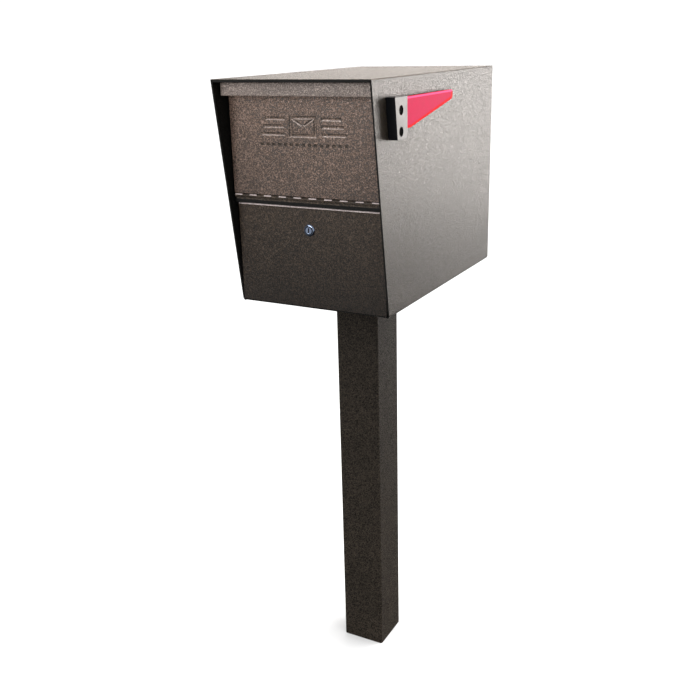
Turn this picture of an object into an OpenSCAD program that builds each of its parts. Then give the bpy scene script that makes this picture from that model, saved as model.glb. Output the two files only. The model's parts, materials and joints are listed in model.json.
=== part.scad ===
// Curbside locking parcel mailbox: a folded sheet-metal box on one square post.
// It has a pull-down hopper door above, a keyed access door below and a side flag.
// Origin: centre of the post's foot, on the ground. +Z is up and the doors face -Y.

/* [Post] */
// Outer width of the square post
post_w = 92; // [60:1:120]
// Height of the post above the ground
post_h = 815; // [400:5:1200]
// Wall of the post tube
post_wall = 3; // [2:0.5:4]
// Outer corner radius of the post tube
post_r = 4; // [3:0.5:8]
// From the front edge of the box's floor back to the post's centre
post_setback = 210; // [150:1:250]
// Thickness of the top plate that is welded on the post
top_plate_t = 4; // [3:0.5:8]
// How far the top plate stands out past the post on each side
top_plate_lip = 24; // [20:1:40]
// Thickness of the sole plate in the post's foot
sole_t = 6; // [4:1:10]
// Spacing of the four tapped holes in the sole plate
sole_pitch = 50; // [30:1:56]
// Radius of each tapped hole in the sole plate
sole_hole_r = 4.25; // [3:0.25:5]

/* [Box] */
// Outer width of the box
box_w = 305; // [250:1:370]
// Outer height of the box
box_h = 402; // [335:1:485]
// Depth of the box along its floor
floor_d = 492; // [400:1:600]
// How far the roof reaches forward of the floor
slant = 56; // [46:1:70]
// Thickness of the box's sheet
sheet = 1.6; // [1.2:0.1:2]
// Outer radius of the folds between floor and sides
bend_r = 6; // [4:0.5:10]
// Width of the hem along the slanted front edges
hem_w = 10; // [6:1:12]
// Depth of the roof's turned-down front edge
roof_hem = 5; // [4:0.5:7]
// Depth of the flanges round the back panel and along the roof
flange = 12; // [8:1:16]

/* [Doors] */
// Height of the access door's top edge above the floor's underside
access_top = 186; // [150:1:200]
// Front face of the access door, ahead of the floor's front edge
access_out = 3; // [2:0.5:4]
// Depth of the access door's folded edges
access_fold = 11; // [8:1:12]
// Front face of the hopper door, ahead of the floor's front edge
hopper_out = 13; // [10:0.5:16]
// Gap between each door and the hems beside it
side_gap = 1.2; // [1:0.1:3]
// Height of the pull lip's front
lip_h = 22.6; // [15:0.1:28]
// How far the pull lip stands ahead of the hopper door
lip_out = 23; // [15:1:26]
// Gap between the pull lip and the roof
lip_gap = 4; // [3:0.5:8]
// How far the hopper door opens, in degrees
hopper_open = 60; // [45:1:65]

/* [Hopper] */
// Sheet of the cheeks and the baffle
liner = 1.2; // [1:0.1:1.6]
// How far the baffle reaches past the stop pins
baffle_past = 20; // [12:1:30]
// Fall of the baffle towards the back, in degrees
baffle_fall = 15; // [12:1:18]
// Gap between each cheek and the door's side edge
cheek_inset = 0.6; // [0.4:0.1:1]
// From the top of the box down to the stop pins
stop_drop = 40.5; // [36:0.5:46]
// Radius of the rubber-sleeved stop pins
stop_r = 5; // [4:0.5:6]
// Depth of the header angle behind the door's top edge
header_h = 14.4; // [10:0.1:18]
// Thickness of the rubber bumpers on the header
bumper_t = 2.7; // [2:0.1:4]

/* [Crossbar] */
// Gap between the access door's top edge and the crossbar
bar_gap = 2; // [1.5:0.5:4]
// Height of the crossbar
bar_h = 8.6; // [8:0.2:12]
// Depth of the crossbar from front to back
bar_d = 26.2; // [24:0.2:28]

/* [Hinges] */
// Length of one knuckle
knuckle_l = 15.25; // [10:0.25:25]
// Radius of the hopper hinge's knuckles
hop_knuckle_r = 3; // [2.5:0.1:3.5]
// Radius of the access hinge's knuckles
acc_knuckle_r = 2.5; // [2.2:0.1:3]
// Radius of both hinge pins
pin_r = 1.25; // [1:0.05:1.4]
// Thickness of the hinge leaves
leaf_t = 1.2; // [0.8:0.1:1.4]
// Height of the hopper hinge's axis above the crossbar
hinge_rise = 4.4; // [4:0.1:6]
// Width of each hinge leaf away from its knuckles
leaf_w = 15; // [10:1:18]

/* [Lock] */
// From the access door's top edge down to the lock
lock_drop = 41; // [36:1:70]
// Radius of the lock's face
lock_face_r = 10.5; // [10:0.1:13]
// Radius of the lock's barrel
lock_barrel_r = 8.8; // [8:0.1:9.5]
// Radius of the turning plug
plug_r = 6.2; // [5:0.1:7]
// Reach of the cam from the lock's axis
cam_reach = 38; // [34:1:40]
// Width of the cam
cam_w = 14; // [10:1:16]
// Thickness of the cam
cam_t = 2; // [1.5:0.1:3]

/* [Flag] */
// Width of the flag bracket from front to back
bracket_w = 48; // [44:1:60]
// Height of the flag bracket
bracket_h = 68; // [62:1:80]
// How far the flag bracket stands out from the side
bracket_out = 17; // [15:0.5:22]
// Top of the bracket's front edge, ahead of the floor's front edge
bracket_ahead = 8; // [0:1:12]
// From the top of the box down to the bracket's underside
bracket_drop = 98; // [92:1:160]
// From the bracket's underside up to the flag's pivot
pivot_up = 46.6; // [44:0.1:48]
// From the top of the bracket's front edge back to both rivets
pivot_back = 23.5; // [23:0.5:26]
// From the pivot down to the bracket's fixing rivet
rivet_drop = 34; // [32:1:36]
// Length of the flag beyond its pivot
flag_l = 230; // [150:1:260]
// Height of the flag's tip
flag_tip_h = 16; // [10:1:30]
// Depth of the flag's root below its pivot
flag_root = 30; // [26:1:32]
// Thickness of the flag
flag_t = 8.8; // [6:0.2:9]
// Radius of both rivets' shanks
rivet_r = 3; // [2.5:0.25:3.5]

/* [Post fixings] */
// Radius of the four carriage bolts
bolt_r = 4; // [3:0.5:5]
// How far outside the post each carriage bolt stands
bolt_out = 9; // [8:0.5:12]

/* [Hidden] */
$fn = 48;
fit = 0.05;          // radial clearance of a turning fit
loose = 0.3;         // clearance between pieces that only lie side by side
clear = 0.4;         // clearance beside moving edges

box_z = post_h + top_plate_t;
in_w = box_w / 2 - sheet;
door_w = in_w - sheet - side_gap;
roof_z = box_h - sheet;
roof_d = floor_d + slant;
hem_z = bend_r + 2;

hopper_back = -hopper_out + sheet;
bar_y = hopper_back + leaf_t;
lock_z = access_top - lock_drop;
bar_z = access_top + bar_gap;
bar_top = bar_z + bar_h;
hop_y = bar_y - hop_knuckle_r;
hop_z = bar_top + hinge_rise;
lip_top = roof_z - lip_gap;
lip_z = lip_top - lip_h;
skin_z = hop_z + hop_knuckle_r + 0.6;

baffle_y = bar_y + 0.5;
baffle_z = hop_z + hop_knuckle_r + 3;
baffle_off = (baffle_y - hop_y) * sin(baffle_fall) + (baffle_z - hop_z) * cos(baffle_fall);
cheek_x = door_w - cheek_inset;
cheek_r = roof_z - header_h - 4 - hop_z;
header_y = hopper_back + bumper_t + loose;
stop_turn = hopper_open - baffle_fall;
stop_off = baffle_off + loose + stop_r;
stop_at = (box_h - stop_drop - hop_z - stop_off * cos(stop_turn)) / sin(stop_turn);
baffle_l = stop_at + baffle_past;

access_back = -access_out + sheet;
access_rear = -access_out + access_fold + 2;
acc_y = access_back + acc_knuckle_r;
acc_z = sheet + acc_knuckle_r;
floor_setback = acc_y + acc_knuckle_r + 1.4;

barrel_rear = access_rear + 2.8;
cam_y = barrel_rear + clear;
strike_y = access_rear + 1;
strike_z = lock_z + cam_reach - 17;
plug_tail = 6;

bracket_wall = 3;
bracket_skin = 2.4;
bracket_z = box_h - bracket_drop;
bracket_top = bracket_z + bracket_h;
lean = atan(slant / box_h);
pivot_y = -bracket_ahead + pivot_back;
pivot_z = bracket_z + pivot_up;
rivet_z = pivot_z - rivet_drop;
recess_r = 8;
rivet_head_r = 6.6;
flag_x = box_w / 2 + bracket_wall + 2;
flag_hub_r = (pivot_y - bracket_front(pivot_z) - bracket_wall) * cos(lean) - 1.1;
flag_top = bracket_top - pivot_z - 2.5;
flag_heel = (flag_top * cos(lean) - flag_hub_r - 0.6) / sin(lean);

bolt_at = post_w / 2 + bolt_out;
washer_t = 1.6;
nut_t = 6.5;

// Where the box's slanted front edge lies at height z
function front_y(z) = -slant * z / box_h;

// Where the bracket's front edge lies at height z: it leans as the box's front edge does
function bracket_front(z) = -bracket_ahead + (bracket_top - z) * slant / box_h;

// Moves from the box's own frame, at the floor's front edge, to the post's foot
module in_box() { translate([0, -post_setback, box_z]) children(); }

// A plate from x to x + t with its outline drawn in Y and Z
module plate_x(x, t) {
    translate([x, 0, 0]) rotate([90, 0, 90]) linear_extrude(t) children();
}

// A profile drawn in X and Z, drawn out from y to y + l
module profile_y(y, l) {
    translate([0, y + l, 0]) rotate([90, 0, 0]) linear_extrude(l) children();
}

// A cylinder along +Y that starts at y
module rod_y(x, y, z, r, l) {
    translate([x, y, z]) rotate([-90, 0, 0]) cylinder(r = r, h = l);
}

// A cylinder along +X that starts at x
module rod_x(x, y, z, r, l) {
    translate([x, y, z]) rotate([0, 90, 0]) cylinder(r = r, h = l);
}

// A rectangle in the Y-Z plane between two corners
module strip(y0, z0, y1, z1) { translate([y0, z0]) square([y1 - y0, z1 - z0]); }

// A square with rounded corners
module rounded_square(w, r) {
    square([w - 2 * r, w], center = true);
    square([w, w - 2 * r], center = true);
    for (x = [-1, 1], y = [-1, 1]) translate([x * (w / 2 - r), y * (w / 2 - r)]) circle(r);
}

// A tray's outline: square at the top, rounded at the two bottom corners
module tray(w, h, r) {
    translate([-w / 2, r]) square([w, h - r]);
    translate([-w / 2 + r, 0]) square([w - 2 * r, h / 2]);
    for (s = [-1, 1]) translate([s * (w / 2 - r), r]) circle(r);
}

// Moves a child to each carriage bolt's axis
module at_bolts() {
    for (x = [-1, 1], y = [-1, 1]) translate([x * bolt_at, y * bolt_at, 0]) children();
}

// ---------- box ----------

module body_wrap() color("#8a7f75") in_box() difference() {
    intersection() {
        union() {
            profile_y(-slant, roof_d) difference() {
                tray(box_w, roof_z, bend_r);
                translate([0, sheet]) tray(2 * in_w, box_h, bend_r - sheet);
            }
            for (x = [-in_w - sheet / 2, in_w - sheet]) plate_x(x, sheet * 1.5) polygon([
                [-slant - 1, hem_z], [front_y(hem_z) + hem_w, hem_z],
                [front_y(roof_z) + hem_w, roof_z], [-slant - 1, roof_z]]);
        }
        plate_x(-box_w / 2 - 1, box_w + 2)
            polygon([[0, 0], [floor_d, 0], [floor_d, roof_z], [front_y(roof_z), roof_z]]);
    }
    translate([-door_w - clear, -1, -1]) cube([2 * (door_w + clear), floor_setback + 1, sheet + 2]);
    for (z = [pivot_z, rivet_z]) rod_x(in_w - 1, pivot_y, z, rivet_r + loose, sheet + 2);
    translate([0, post_setback, -1]) at_bolts() cylinder(r = bolt_r + loose, h = sheet + 2);
}

module roof_panel() color("#c9c3b8") in_box() {
    side_start = front_y(roof_z) + hem_w + 20;
    translate([-box_w / 2, -slant, roof_z]) cube([box_w, roof_d, sheet]);
    translate([-in_w + sheet, -slant, box_h - roof_hem])
        cube([2 * (in_w - sheet), sheet, roof_hem - sheet]);
    for (x = [-in_w, in_w - sheet]) translate([x, side_start, roof_z - flange])
        cube([sheet, floor_d - sheet - flange - 1 - side_start, flange]);
}

module back_panel() color("#8a7f75") in_box() translate([0, 0, sheet]) {
    profile_y(floor_d - sheet, sheet) tray(2 * in_w, roof_z - sheet, bend_r);
    profile_y(floor_d - sheet - flange, flange) difference() {
        tray(2 * in_w, roof_z - sheet, bend_r);
        translate([0, sheet]) tray(2 * (in_w - sheet), roof_z - 3 * sheet, bend_r - sheet);
    }
}

module crossbar() color("#4a403a") in_box() plate_x(-in_w, 2 * in_w) {
    strip(bar_y, bar_z, bar_y + sheet, bar_top);
    strip(bar_y, bar_top - sheet, bar_y + bar_d, bar_top);
    strip(bar_y + bar_d - sheet, bar_z, bar_y + bar_d, bar_top);
}

module header_angle() color("#4a403a") in_box() plate_x(-in_w + sheet, 2 * (in_w - sheet)) {
    strip(header_y, roof_z - header_h, header_y + sheet, roof_z);
    strip(header_y, roof_z - sheet, header_y + 20, roof_z);
}

module header_bumpers() color("#1c1c1c") in_box()
    for (s = [-1, 1]) rod_y(s * door_w * 0.7, header_y - bumper_t, roof_z - header_h / 2 - 1, 5, bumper_t);

module hopper_stop_pins() color("#1c1c1c") in_box()
    for (x = [-in_w, in_w - 16]) rod_x(x,
        hop_y + stop_at * cos(stop_turn) - stop_off * sin(stop_turn),
        hop_z + stop_at * sin(stop_turn) + stop_off * cos(stop_turn), stop_r, 16);

module door_jambs() color("#4a403a") in_box() for (s = [0, 1]) mirror([s, 0, 0]) {
    plate_x(in_w - 13, 13) strip(access_rear + clear, 14, access_rear + clear + sheet, access_top - 6);
    plate_x(in_w - sheet, sheet) strip(access_rear + clear, 14, access_rear + clear + 14, access_top - 6);
}

module lock_strike() color("#9a9a9a") in_box() plate_x(-20, 40) {
    strip(strike_y, strike_z, strike_y + sheet, bar_top - sheet);
    strip(strike_y - 11, bar_top - 2 * sheet, strike_y + sheet, bar_top - sheet);
}

// ---------- piano hinges ----------

// One leaf of a piano hinge. It lies along +X with its axis at the origin and its flat on
// the +Z side, tangent to the knuckles at -Y. side is 0 or 1: which knuckles are its own.
module hinge_leaf(knuckle_r, w, side) {
    count = floor(2 * (door_w - 1) / knuckle_l);
    half = count * knuckle_l / 2;
    difference() {
        union() {
            translate([-half, -knuckle_r, knuckle_r + clear]) cube([2 * half, leaf_t, w - knuckle_r - clear]);
            for (i = [side : 2 : count - 1]) translate([-half + i * knuckle_l + loose / 2, 0, 0]) {
                rod_x(0, 0, 0, knuckle_r, knuckle_l - loose);
                translate([0, -knuckle_r, 0]) cube([knuckle_l - loose, leaf_t, knuckle_r + 1]);
            }
        }
        rod_x(-half - 1, 0, 0, pin_r + fit, 2 * half + 2);
    }
}

// A hinge pin, a little longer than its knuckles
module hinge_pin() {
    half = floor(2 * (door_w - 1) / knuckle_l) * knuckle_l / 2;
    rod_x(-half - 0.5, 0, 0, pin_r, 2 * half + 1);
}

module at_hopper_hinge() { in_box() translate([0, hop_y, hop_z]) children(); }
module at_access_hinge() { in_box() translate([0, acc_y, acc_z]) children(); }

module hopper_hinge_door_leaf() color("#b9aea4")
    at_hopper_hinge() mirror([0, 1, 0]) hinge_leaf(hop_knuckle_r, leaf_w, 0);

module hopper_hinge_frame_leaf() color("#b9aea4")
    at_hopper_hinge() mirror([0, 0, 1]) mirror([0, 1, 0]) hinge_leaf(hop_knuckle_r, hop_z - bar_z, 1);

module hopper_hinge_pin() color("#d8d8d8") at_hopper_hinge() hinge_pin();

module access_hinge_door_leaf() color("#6b5f56")
    at_access_hinge() hinge_leaf(acc_knuckle_r, leaf_w, 0);

module access_hinge_frame_leaf() color("#6b5f56")
    at_access_hinge() rotate([-90, 0, 0]) mirror([0, 1, 0]) hinge_leaf(acc_knuckle_r, leaf_w + 6, 1);

module access_hinge_pin() color("#d8d8d8") at_access_hinge() hinge_pin();

// ---------- hopper door ----------

module hopper_door_skin() color("#7a685c") in_box()
    plate_x(-door_w, 2 * door_w) strip(-hopper_out, skin_z, hopper_back, lip_top);

module hopper_pull_lip() color("#8a7669") in_box() {
    front = -hopper_out - lip_out;
    plate_x(-door_w, 2 * door_w) {
        strip(front, lip_z, front + sheet, lip_top);
        strip(front, lip_z, -hopper_out, lip_z + sheet);
        strip(front, lip_top - sheet, front + 8, lip_top);
    }
    for (x = [-door_w, door_w - sheet]) plate_x(x, sheet) strip(front, lip_z, -hopper_out, lip_top);
}

// A cheek closes the hopper's side: a sector round the hinge, from the door to the baffle
module hopper_cheek(x) {
    far = 2 * cheek_r;
    low = baffle_z - (hopper_back - baffle_y) * tan(baffle_fall) - liner / cos(baffle_fall);
    in_box() plate_x(x, liner) intersection() {
        translate([hop_y, hop_z]) circle(cheek_r, $fn = 96);
        polygon([[hopper_back, low], [hopper_back, low + far],
            [hopper_back + far, low + far], [hopper_back + far, low - far * tan(baffle_fall)]]);
    }
}

module hopper_cheek_left() color("#5a4e46") hopper_cheek(-cheek_x);
module hopper_cheek_right() color("#5a4e46") hopper_cheek(cheek_x - liner);

module hopper_baffle() color("#5a4e46") in_box() {
    half = cheek_x - liner;
    translate([-half, baffle_y, baffle_z]) rotate([-baffle_fall, 0, 0]) {
        translate([0, 0, -liner]) cube([2 * half, baffle_l, liner]);
        translate([0, baffle_l - liner, -10]) cube([2 * half, liner, 10]);
    }
    plate_x(-half, 2 * half) strip(bar_y, baffle_z - 1.6, bar_y + liner, baffle_z + 12);
}

// ---------- access door and its lock ----------

module access_door_skin() color("#4e433c") in_box() difference() {
    union() {
        plate_x(-door_w, 2 * door_w) {
            strip(-access_out, acc_z + 0.6, access_back, access_top);
            strip(-access_out, access_top - sheet, -access_out + access_fold, access_top);
        }
        for (x = [-door_w, door_w - sheet]) plate_x(x, sheet)
            strip(access_back - 0.2, 14, access_rear, access_top - sheet);
    }
    rod_y(0, -access_out - 1, lock_z, lock_barrel_r + loose, sheet + 2);
}

module access_door_stiffener() color("#4e433c") in_box() plate_x(-door_w + 20, 2 * door_w - 40) {
    low = 54;
    high = 86;
    deep = access_rear - 3;
    for (z = [low, high]) strip(access_back, z, access_back + liner, z + 12);
    strip(access_back, low + 12 - liner, deep, low + 12);
    strip(access_back, high, deep, high + liner);
    strip(deep - liner, low + 12 - liner, deep, high + liner);
}

// The lock's outline turned about its own axis, which then lies along +Y at height lock_z
module turned_lock() { in_box() translate([0, 0, lock_z]) rotate([-90, 0, 0]) rotate_extrude() children(); }

module lock_body() color("#d9dce0") turned_lock() {
    face = -access_out - 3.5;
    polygon([[plug_r + fit, face], [lock_face_r - 2.2, face], [lock_face_r, face + 1.8],
        [lock_face_r, -access_out], [lock_barrel_r, -access_out], [lock_barrel_r, barrel_rear],
        [plug_r + fit, barrel_rear]]);
}

module lock_nut() color("#9a9a9a") in_box() difference() {
    translate([0, access_back, lock_z]) rotate([-90, 0, 0]) cylinder(r = 13.5, h = 5, $fn = 6);
    rod_y(0, access_back - 1, lock_z, lock_barrel_r + fit, 7);
}

module lock_plug() color("#e6e8ea") in_box() difference() {
    face = -access_out - 3.9;
    union() {
        rod_y(0, face, lock_z, plug_r, cam_y - face);
        translate([-plug_tail / 2, cam_y - 1, lock_z - plug_tail / 2])
            cube([plug_tail, cam_t + 1, plug_tail]);
    }
    translate([-0.9, face - 1, lock_z - 4.2]) cube([1.8, 13, 8.4]);
    rod_y(0, cam_y - 5, lock_z, 1.65, 5 + cam_t + 1);
}

module lock_cam() color("#9a9a9a") in_box() difference() {
    profile_y(cam_y, cam_t) translate([0, lock_z]) {
        circle(9);
        translate([-cam_reach + cam_w / 2, 0]) circle(cam_w / 2);
        translate([-cam_reach + cam_w / 2, -cam_w / 2]) square([cam_reach - cam_w / 2, cam_w]);
    }
    translate([-plug_tail / 2 - fit, cam_y - 1, lock_z - plug_tail / 2 - fit])
        cube([plug_tail + 2 * fit, cam_t + 2, plug_tail + 2 * fit]);
}

module lock_cam_screw() color("#c0c0c0") in_box() {
    rod_y(0, cam_y + cam_t, lock_z, 5, 2.6);
    rod_y(0, cam_y - 4.6, lock_z, 1.6, 4.6 + cam_t + 1);
}

// ---------- flag ----------

module flag_bracket() color("#17181a") in_box() {
    base = box_w / 2;
    back = bracket_w - bracket_ahead;
    low = [bracket_front(bracket_z), bracket_z];
    high = [-bracket_ahead, bracket_top];
    difference() {
        union() {
            for (wall = [[base, bracket_wall], [base + bracket_out - bracket_skin, bracket_skin]])
                plate_x(wall[0], wall[1])
                    polygon([low, [back, bracket_z], [back, bracket_top], high]);
            plate_x(base, bracket_out) {
                polygon([low, low + [bracket_wall, 0], high + [bracket_wall, 0], high]);
                polygon([low, [back, bracket_z], [back, bracket_z + bracket_wall],
                    [bracket_front(bracket_z + bracket_wall), bracket_z + bracket_wall]]);
            }
            rod_x(base + 1, pivot_y, rivet_z, 6.4, flag_x + flag_t - base - 1);
        }
        for (z = [pivot_z, rivet_z]) {
            rod_x(base - 1, pivot_y, z, rivet_r + fit, bracket_out + 2);
            rod_x(flag_x + flag_t, pivot_y, z, recess_r, bracket_out);
        }
    }
}

// A rivet through the bracket and the box's side, with its head in the recess
module bracket_rivet(z) {
    head = flag_x + flag_t + loose;
    in_box() {
        rod_x(head, pivot_y, z, rivet_head_r, 1.4);
        rod_x(in_w - 0.5, pivot_y, z, rivet_r, head - in_w + 1);
        rod_x(in_w - 1.6, pivot_y, z, 5.5, 1.6);
    }
}

module flag_pivot_rivet() color("#202224") bracket_rivet(pivot_z);
module flag_bracket_rivet() color("#202224") bracket_rivet(rivet_z);

// The flag lies flat along the side, pointing back, and turns up about its pivot
module flag() color("#e84468") in_box() translate([flag_x, pivot_y, pivot_z])
    rotate([90, 0, 90]) difference() {
        union() {
            cylinder(r = flag_hub_r, h = flag_t);
            linear_extrude(flag_t) polygon([[flag_heel, flag_top], [flag_l - 3, flag_top],
                [flag_l, flag_top - 3], [flag_l, flag_top - flag_tip_h + 4],
                [flag_l - 4, flag_top - flag_tip_h], [46, -flag_root - 1.5],
                [28, -flag_root - 1.5], [24, -flag_root + 2], [0, 0.5 - flag_hub_r]]);
        }
        translate([0, 0, -1]) cylinder(r = rivet_r + fit, h = flag_t + 2);
    }

// ---------- post ----------

module post_tube() color("#4d433b") linear_extrude(post_h) difference() {
    rounded_square(post_w, post_r);
    rounded_square(post_w - 2 * post_wall, max(post_r - post_wall, 0.5));
}

module post_top_plate() color("#3c342e") translate([0, 0, post_h]) difference() {
    linear_extrude(top_plate_t) rounded_square(post_w + 2 * top_plate_lip, 8);
    translate([0, 0, -1]) at_bolts() cylinder(r = bolt_r + loose, h = top_plate_t + 2);
}

module post_sole_plate() color("#3c342e") difference() {
    linear_extrude(sole_t) rounded_square(post_w - 2 * post_wall, post_r);
    for (x = [-1, 1], y = [-1, 1]) translate([x * sole_pitch / 2, y * sole_pitch / 2, -1])
        cylinder(r = sole_hole_r, h = sole_t + 2);
}

module mounting_bolts() color("#b0b0b0") at_bolts() {
    down = top_plate_t + washer_t + nut_t + 3;
    translate([0, 0, box_z + sheet]) cylinder(r1 = 9.5, r2 = 6, h = 4);
    translate([0, 0, box_z - down]) cylinder(r = bolt_r, h = down + sheet + 1);
}

module mounting_washers() color("#b0b0b0") at_bolts() translate([0, 0, post_h - washer_t]) difference() {
    cylinder(r = bolt_out - 0.6, h = washer_t);
    translate([0, 0, -1]) cylinder(r = bolt_r + fit, h = washer_t + 2);
}

module mounting_nuts() color("#b0b0b0") at_bolts()
    translate([0, 0, post_h - washer_t - nut_t]) difference() {
        cylinder(r = 7.5, h = nut_t, $fn = 6);
        translate([0, 0, -1]) cylinder(r = bolt_r + fit, h = nut_t + 2);
    }

body_wrap();
roof_panel();
back_panel();
crossbar();
header_angle();
header_bumpers();
hopper_stop_pins();
door_jambs();
lock_strike();
hopper_hinge_frame_leaf();
hopper_hinge_pin();
access_hinge_frame_leaf();
access_hinge_pin();
flag_bracket();
flag_pivot_rivet();
flag_bracket_rivet();
post_tube();
post_top_plate();
post_sole_plate();
mounting_bolts();
mounting_washers();
mounting_nuts();
hopper_door_skin();
hopper_pull_lip();
hopper_hinge_door_leaf();
hopper_cheek_left();
hopper_cheek_right();
hopper_baffle();
access_door_skin();
access_door_stiffener();
access_hinge_door_leaf();
lock_body();
lock_nut();
lock_plug();
lock_cam();
lock_cam_screw();
flag();
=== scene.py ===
"""Curbside locking mailbox: its painted sheet metal, doors, lock, flag, post and a plain stage."""

from collections import namedtuple
import json
import math

import bmesh
import bpy
from mathutils import Matrix, Vector


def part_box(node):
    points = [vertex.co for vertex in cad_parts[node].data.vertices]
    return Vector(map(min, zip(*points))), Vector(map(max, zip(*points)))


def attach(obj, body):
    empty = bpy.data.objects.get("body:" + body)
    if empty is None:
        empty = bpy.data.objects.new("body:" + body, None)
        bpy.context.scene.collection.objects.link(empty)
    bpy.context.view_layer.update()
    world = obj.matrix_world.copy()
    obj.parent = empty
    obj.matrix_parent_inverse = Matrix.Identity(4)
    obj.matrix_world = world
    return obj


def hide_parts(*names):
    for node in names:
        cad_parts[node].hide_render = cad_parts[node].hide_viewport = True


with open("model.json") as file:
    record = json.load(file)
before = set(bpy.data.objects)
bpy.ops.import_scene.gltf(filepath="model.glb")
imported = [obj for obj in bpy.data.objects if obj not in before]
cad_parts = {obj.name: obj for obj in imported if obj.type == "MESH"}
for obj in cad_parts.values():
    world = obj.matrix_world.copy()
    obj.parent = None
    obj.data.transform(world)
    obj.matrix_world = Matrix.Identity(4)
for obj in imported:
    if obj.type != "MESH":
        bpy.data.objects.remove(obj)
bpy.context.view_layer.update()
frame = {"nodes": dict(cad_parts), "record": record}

bl_info = {
    "name": "Curbside Mailbox",
    "version": (1, 0, 0),
    "blender": (4, 5, 0),
    "location": "3D View > Sidebar > Mailbox",
    "description": "Builds a locking curbside mailbox around its fitted metalwork",
    "category": "Add Mesh",
}

MM = 0.001
PANEL_TAB = "Mailbox"

# How exact the mesh work is
CUT_SNAP = 0.001 * MM  # a corner this near to a cutting plane counts as on it
MERGE = 0.004 * MM  # loose corners nearer than this are one corner
FLAT = math.radians(0.6)  # faces that meet at less than this are one flat face
IN_PLANE = 0.05 * MM  # how far from a plane a corner or a face still belongs to it
SHARP = math.radians(35)  # an edge that turns more than this is rounded
SMOOTH = math.radians(30)  # and one that turns more than this is shaded as an edge
LONG_ENOUGH = 3  # an edge is rounded if it is this many roundings long

# How much of a face's normal lies along an axis for the face to be painted as facing that way
SLIGHTLY = 0.1
LEANS = 0.3
MOSTLY = 0.7
NEARLY = 0.9
SQUARELY = 0.98
FLAG_FLAT = 0.998

# Roundings that follow from how each part is made
STAMPED_EDGE = 0.3 * MM
KNUCKLE_EDGE = 0.15 * MM
PLUG_EDGE = 0.5 * MM
MOULDED_EDGE = 0.6 * MM

# The hammered coat: how its pattern is drawn, and how its gloss and tone change over it
RIDGE_TOP = 0.015  # a ridge has its full height this near to its fold
RIDGE_FOOT = 0.11  # and has fallen to nothing this far from it
SPECKS_PER_RIDGE = 2.6
FAINTEST_FLECK = 0.25  # what is left of a ridge's paleness where it is broken
PATCH = 1 / 9  # metres from one patch of the baked coat to the next
PATCH_TONE = 0.1
HOLLOW_DULLNESS = 0.1
RIDGE_POLISH = 0.08

# The plain finishes: smudges from handling
SMUDGE = 1 / 60  # metres from one smudge to the next
SMUDGE_DARK = 0.86
SMUDGE_LIGHT = 1.08
MIRROR = 0.02  # the smoothest that a surface gets

# The stage
FLOOR_REACH = 30.0  # metres from the object to the floor's edge
SENSOR_WIDTH = 36  # millimetres
SKY_POWER = 2.0
SKY_WIDTH = math.radians(60)
SKY_FROM = (0.45, 0.35, 1.0)
GLOW_AHEAD = 0.45  # how bright the white surroundings are, as the metal mirrors them
GLOW_BEHIND = 1.1
RIGHT_IS_BEHIND = 0.5  # how much a step to the right counts as a step behind
GROUND_GLOW = 0.03
GROUND_TILT = -0.3  # how much sooner the ground darkens for a step to the right

# The pressed sign: an envelope between speed lines, and a row of dashes below
SIGN_HEIGHT = 0.7  # the sign's middle, as a part of the way from the door's foot to its lip
ENVELOPE_WIDTH = 54 * MM
ENVELOPE_HEIGHT = 36 * MM
FLAP_LINE = 0.8  # the flap's lines, as a part of the sign's line width
SIGN_GAP = 9 * MM
SPEED_LINE_STEP = 13 * MM
SPEED_LINE_CUT = 0.2  # how much shorter the top line is than the bottom one
DASHES = 15
DASH_OVERHANG = 10 * MM  # how much wider the row of dashes is than the sign
DASH_DROP = 30 * MM
DASH_HEIGHT = 5 * MM
DASH_FILL = 0.6  # how much of each step is dash
DASH_ZONE = 0.6  # envelope heights from the sign's middle down to where its dashes' paint begins
FOOT_MARGIN = 9 * MM  # the strip along the door's foot that the sign's paint stays out of

# Shapes of the other worked parts
KNUCKLE_HIGHLIGHT = (0.4, 0.93)  # a knuckle gets a painted highlight where its normal rises this much
LOCK_RIM = 4 * MM  # from the lock's face back to its barrel
KEYWAY_HALF = 1.2 * MM  # from the plug's middle to past the keyway's wall

# The flag's bevel, as parts of its width
CROWDED = 0.6  # corners of its inner line that are nearer than this become one
BROAD_TIP = 1.2  # how much wider it is at the tip
NARROW_TOP = 0.4  # how much narrower it is along the top

# A straight bar on the door's face: its middle, its length and width, and its turn in radians
Bar = namedtuple("Bar", "x z length width turn", defaults=[0])


# ---------------------------------------------------------------- settings


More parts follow.
